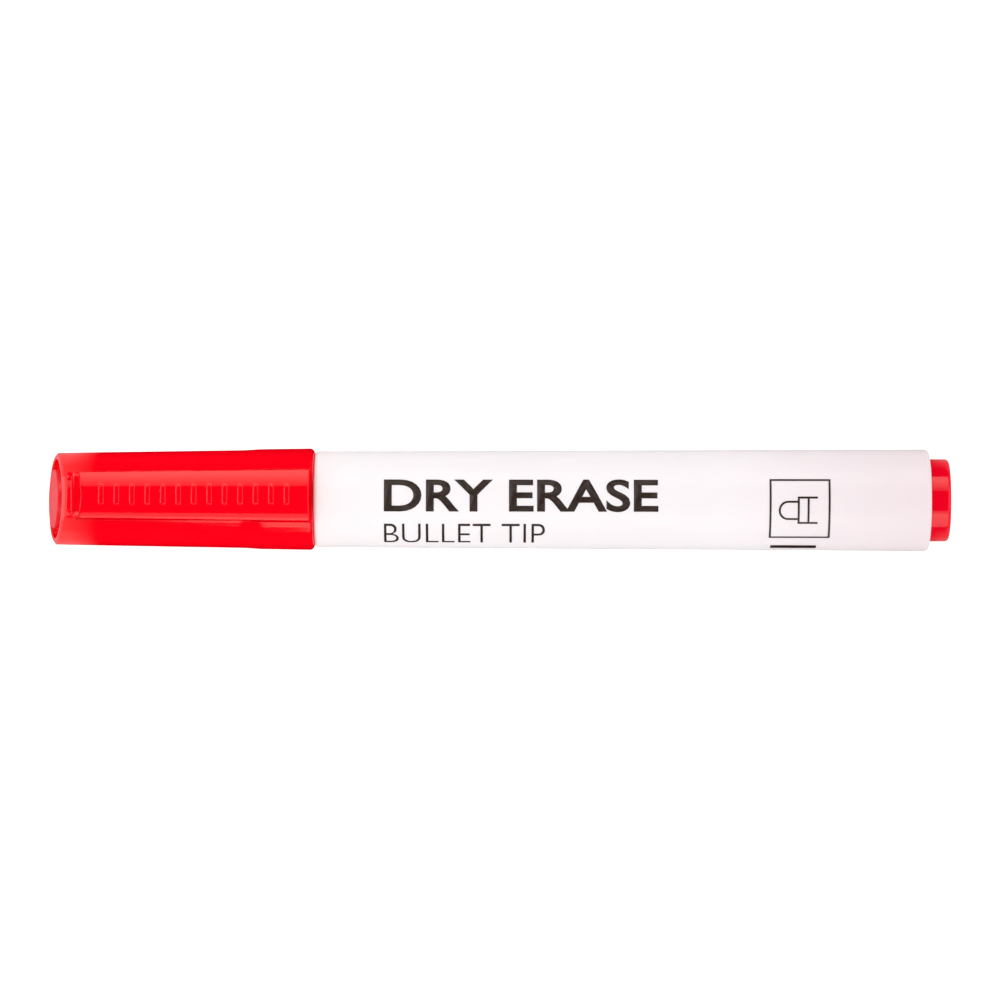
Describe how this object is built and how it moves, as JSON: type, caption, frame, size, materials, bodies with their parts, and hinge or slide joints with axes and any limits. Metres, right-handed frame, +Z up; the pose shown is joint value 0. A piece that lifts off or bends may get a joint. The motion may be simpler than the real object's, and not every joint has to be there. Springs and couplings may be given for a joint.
{
  "type": "whiteboard marker",
  "caption": "Capped whiteboard marker with a bullet nib, fibre ink reservoir, vented pull-off cap with a sprung pocket clip, and a rear end plug.",
  "frame": {"origin": "on the surface the marker lies on, below the middle of its overall box", "axes": "+X along the marker from the cap's closed end to the end plug, +Z up through the clip's crest, marker symmetric about the XZ plane"},
  "size_m": [0.139, 0.0156, 0.0166],
  "materials": {
    "barrel_plastic": "satin moulded",
    "nose_plastic": "satin moulded",
    "cap_plastic": "gloss moulded",
    "liner_plastic": "semi-gloss moulded",
    "plug_plastic": "gloss moulded",
    "nib_felt": "ink-soaked bonded fibre",
    "reservoir_fibre": "ink-soaked fibre bundle",
    "clear_film": "thin clear film",
    "print_ink": "pad-printed ink"
  },
  "bodies": {
    "pen": {"barrel": "barrel_plastic", "end_plug": "plug_plastic", "nib_holder": "nose_plastic", "nib": "nib_felt", "ink_reservoir": "reservoir_fibre", "reservoir_film": "clear_film"},
    "cap": {"cap_shell": "cap_plastic", "inner_cap": "liner_plastic"},
    "clip": {"pocket_clip": "cap_plastic"}
  },
  "joints": [
    {"name": "cap_pull", "type": "slide", "parent": "pen", "child": "cap", "axis": [-1, 0, 0], "range_m": [0, 0.045]},
    {"name": "clip_flex", "type": "hinge", "parent": "cap", "child": "clip", "pos_m": [-0.06398, 0, 0.01523], "axis": [0, -1, 0], "range_deg": [0, 4], "stiffness_Nm_per_rad": 1.2}
  ]
}
